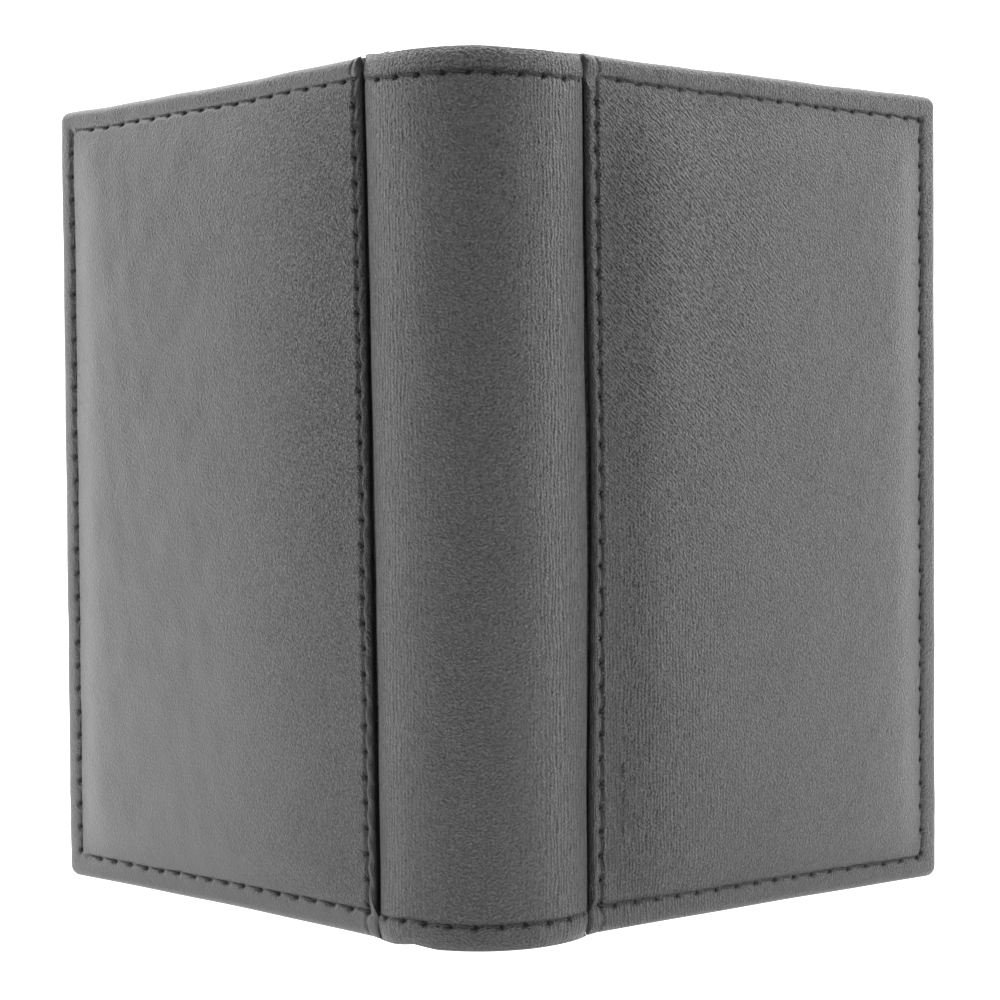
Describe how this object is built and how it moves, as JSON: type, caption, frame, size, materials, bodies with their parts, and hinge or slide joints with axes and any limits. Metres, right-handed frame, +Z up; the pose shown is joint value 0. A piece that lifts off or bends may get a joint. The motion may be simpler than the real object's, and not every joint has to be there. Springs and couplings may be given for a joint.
{
  "type": "bifold card holder",
  "caption": "Upright bifold card holder in black pebbled leather, with padded stitched covers, a bowed spine strip and stepped card slots inside, standing half open.",
  "frame": {"origin": "centre of the holder's box at the level of its lower edges, with the covers half open as it stands", "axes": "+Z up along the spine, -Y the way the spine's outer face looks, +X across both covers to the right cover"},
  "size_m": [0.1236, 0.0534, 0.11],
  "materials": {
    "leather": "pebbled grain, semi-matt",
    "slot_leather": "fine grain, semi-matt",
    "lining": "plain woven, matt",
    "stiffener": "matt sheet",
    "foam": "soft padding"
  },
  "bodies": {
    "spine": {"spine_leather": "leather", "spine_stiffener": "stiffener", "spine_lining": "lining"},
    "left_cover": {"left_cover_leather": "leather", "left_cover_foam": "foam", "left_cover_board": "stiffener", "left_cover_lining": "lining", "left_slot_rear": "slot_leather", "left_slot_middle": "slot_leather", "left_slot_front": "slot_leather"},
    "right_cover": {"right_cover_leather": "leather", "right_cover_foam": "foam", "right_cover_board": "stiffener", "right_cover_lining": "lining", "right_slot_rear": "slot_leather", "right_slot_middle": "slot_leather", "right_slot_front": "slot_leather"}
  },
  "joints": [
    {"name": "left_cover_fold", "type": "hinge", "parent": "spine", "child": "left_cover", "pos_m": [-0.01658, -0.01675, 0.055], "axis": [0, 0, -1], "range_deg": [-42, 53]},
    {"name": "right_cover_fold", "type": "hinge", "parent": "spine", "child": "right_cover", "pos_m": [0.01062, -0.01675, 0.055], "axis": [0, 0, 1], "range_deg": [-32.5, 62.5]}
  ]
}
